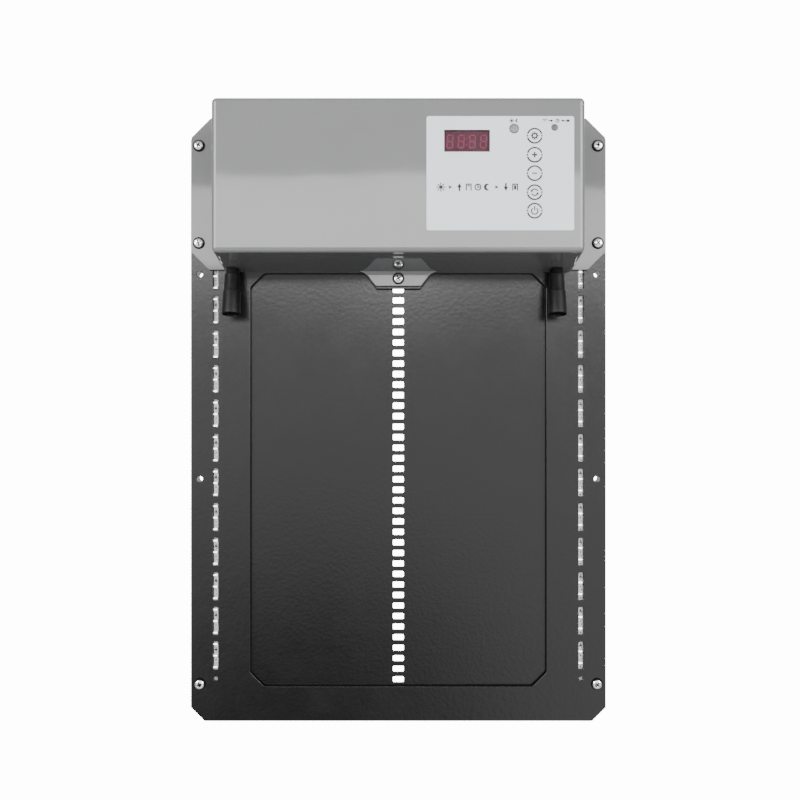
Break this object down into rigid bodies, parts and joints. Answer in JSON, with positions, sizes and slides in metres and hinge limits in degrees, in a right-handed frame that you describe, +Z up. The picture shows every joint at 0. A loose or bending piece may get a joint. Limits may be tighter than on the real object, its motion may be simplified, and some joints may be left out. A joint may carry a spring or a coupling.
{
  "type": "automatic coop door",
  "caption": "Motor driven sliding door for a small animal house: flat panel with a doorway, a laddered sliding door, side light strips and a drive housing with a keypad.",
  "frame": {"origin": "midway between the two middle wall holes, on the wall plane behind the side frames", "axes": "+Z up, the front faces -Y, +X to the right seen from the front; the wall is the plane Y = 0"},
  "size_m": [0.3, 0.0775, 0.44],
  "materials": {
    "panel_coat": "satin powder coat",
    "door_coat": "satin powder coat",
    "frame_coat": "satin powder coat",
    "guide_nylon": "moulded",
    "strip_white": "printed circuit",
    "lamp_chip": "moulded",
    "chip_black": "moulded",
    "housing_grey": "gloss",
    "label_film": "satin film",
    "display_lens": "tinted",
    "display_body": "moulded",
    "sensor_lens": "frosted",
    "lamp_lens": "frosted",
    "button_cap": "satin",
    "boot_rubber": "moulded",
    "screw_steel": "plated",
    "pad_nylon": "moulded",
    "shaft_steel": "ground",
    "gear_plastic": "moulded",
    "worm_brass": "turned",
    "motor_steel": "drawn",
    "case_black": "moulded",
    "bracket_zinc": "zinc plated",
    "board_green": "solder resist",
    "cell_wrap": "shrink film"
  },
  "bodies": {
    "frame": {"front_panel": "panel_coat", "left_side_frame": "frame_coat", "right_side_frame": "frame_coat", "left_door_guide": "guide_nylon", "right_door_guide": "guide_nylon", "left_light_strip": "strip_white", "right_light_strip": "strip_white", "left_strip_lamps": "lamp_chip", "right_strip_lamps": "lamp_chip", "strip_resistors": "chip_black", "housing_cover": "housing_grey", "keypad_label": "label_film", "display_window": "display_lens", "display_module": "display_body", "light_sensor": "sensor_lens", "status_lamp": "lamp_lens", "left_cable_boot": "boot_rubber", "right_cable_boot": "boot_rubber", "flange_screws": "screw_steel", "tab_screw": "screw_steel", "frame_screws": "screw_steel", "frame_nuts": "screw_steel", "rear_bridge": "frame_coat", "bridge_screws": "screw_steel", "backing_pads": "pad_nylon", "cluster_axle": "shaft_steel", "motor_can": "motor_steel", "motor_terminals": "worm_brass", "gearbox_case": "case_black", "gearbox_lid": "case_black", "gearbox_screws": "screw_steel", "motor_bracket": "bracket_zinc", "bracket_screws": "screw_steel", "control_board": "board_green", "board_screws": "screw_steel", "tact_switches": "chip_black", "board_parts": "chip_black", "battery_holder": "case_black", "holder_screws": "screw_steel", "battery_cells": "cell_wrap", "left_socket": "case_black", "right_socket": "case_black", "socket_nuts": "screw_steel"},
    "door": {"door_panel": "door_coat"},
    "output": {"door_pinion": "pad_nylon", "output_shaft": "shaft_steel", "output_gear": "gear_plastic"},
    "cluster": {"worm_wheel": "gear_plastic"},
    "worm_rotor": {"worm": "worm_brass"},
    "button_set_body": {"button_set": "button_cap"},
    "button_plus_body": {"button_plus": "button_cap"},
    "button_minus_body": {"button_minus": "button_cap"},
    "button_cycle_body": {"button_cycle": "button_cap"},
    "button_power_body": {"button_power": "button_cap"}
  },
  "joints": [
    {"name": "door_slide", "type": "slide", "parent": "frame", "child": "door", "axis": [0, 0, 1], "range_m": [0, 0.3]},
    {"name": "output_turn", "type": "hinge", "parent": "frame", "child": "output", "pos_m": [0, -0.02668, 0.18305], "axis": [1, 0, 0], "range_deg": [-5, 890]},
    {"name": "cluster_turn", "type": "hinge", "parent": "frame", "child": "cluster", "pos_m": [0.028, -0.0235, 0.1972], "axis": [1, 0, 0], "range_deg": [-2300, 5]},
    {"name": "worm_turn", "type": "hinge", "parent": "frame", "child": "worm_rotor", "pos_m": [0.0285, -0.0341, 0.1972], "axis": [0, 0, 1], "range_deg": [-45950, 10]},
    {"name": "press_set", "type": "slide", "parent": "frame", "child": "button_set_body", "axis": [0, 1, 0], "range_m": [0, 0.0004], "stiffness_N_per_m": 800, "springref_m": -0.0003},
    {"name": "press_plus", "type": "slide", "parent": "frame", "child": "button_plus_body", "axis": [0, 1, 0], "range_m": [0, 0.0004], "stiffness_N_per_m": 800, "springref_m": -0.0003},
    {"name": "press_minus", "type": "slide", "parent": "frame", "child": "button_minus_body", "axis": [0, 1, 0], "range_m": [0, 0.0004], "stiffness_N_per_m": 800, "springref_m": -0.0003},
    {"name": "press_cycle", "type": "slide", "parent": "frame", "child": "button_cycle_body", "axis": [0, 1, 0], "range_m": [0, 0.0004], "stiffness_N_per_m": 800, "springref_m": -0.0003},
    {"name": "press_power", "type": "slide", "parent": "frame", "child": "button_power_body", "axis": [0, 1, 0], "range_m": [0, 0.0004], "stiffness_N_per_m": 800, "springref_m": -0.0003}
  ],
  "couplings": [
    {"joint": "output_turn", "follows": "door_slide", "rad_per_m": 51.333},
    {"joint": "cluster_turn", "follows": "door_slide", "rad_per_m": -133.47},
    {"joint": "worm_turn", "follows": "door_slide", "rad_per_m": -2669.3}
  ]
}
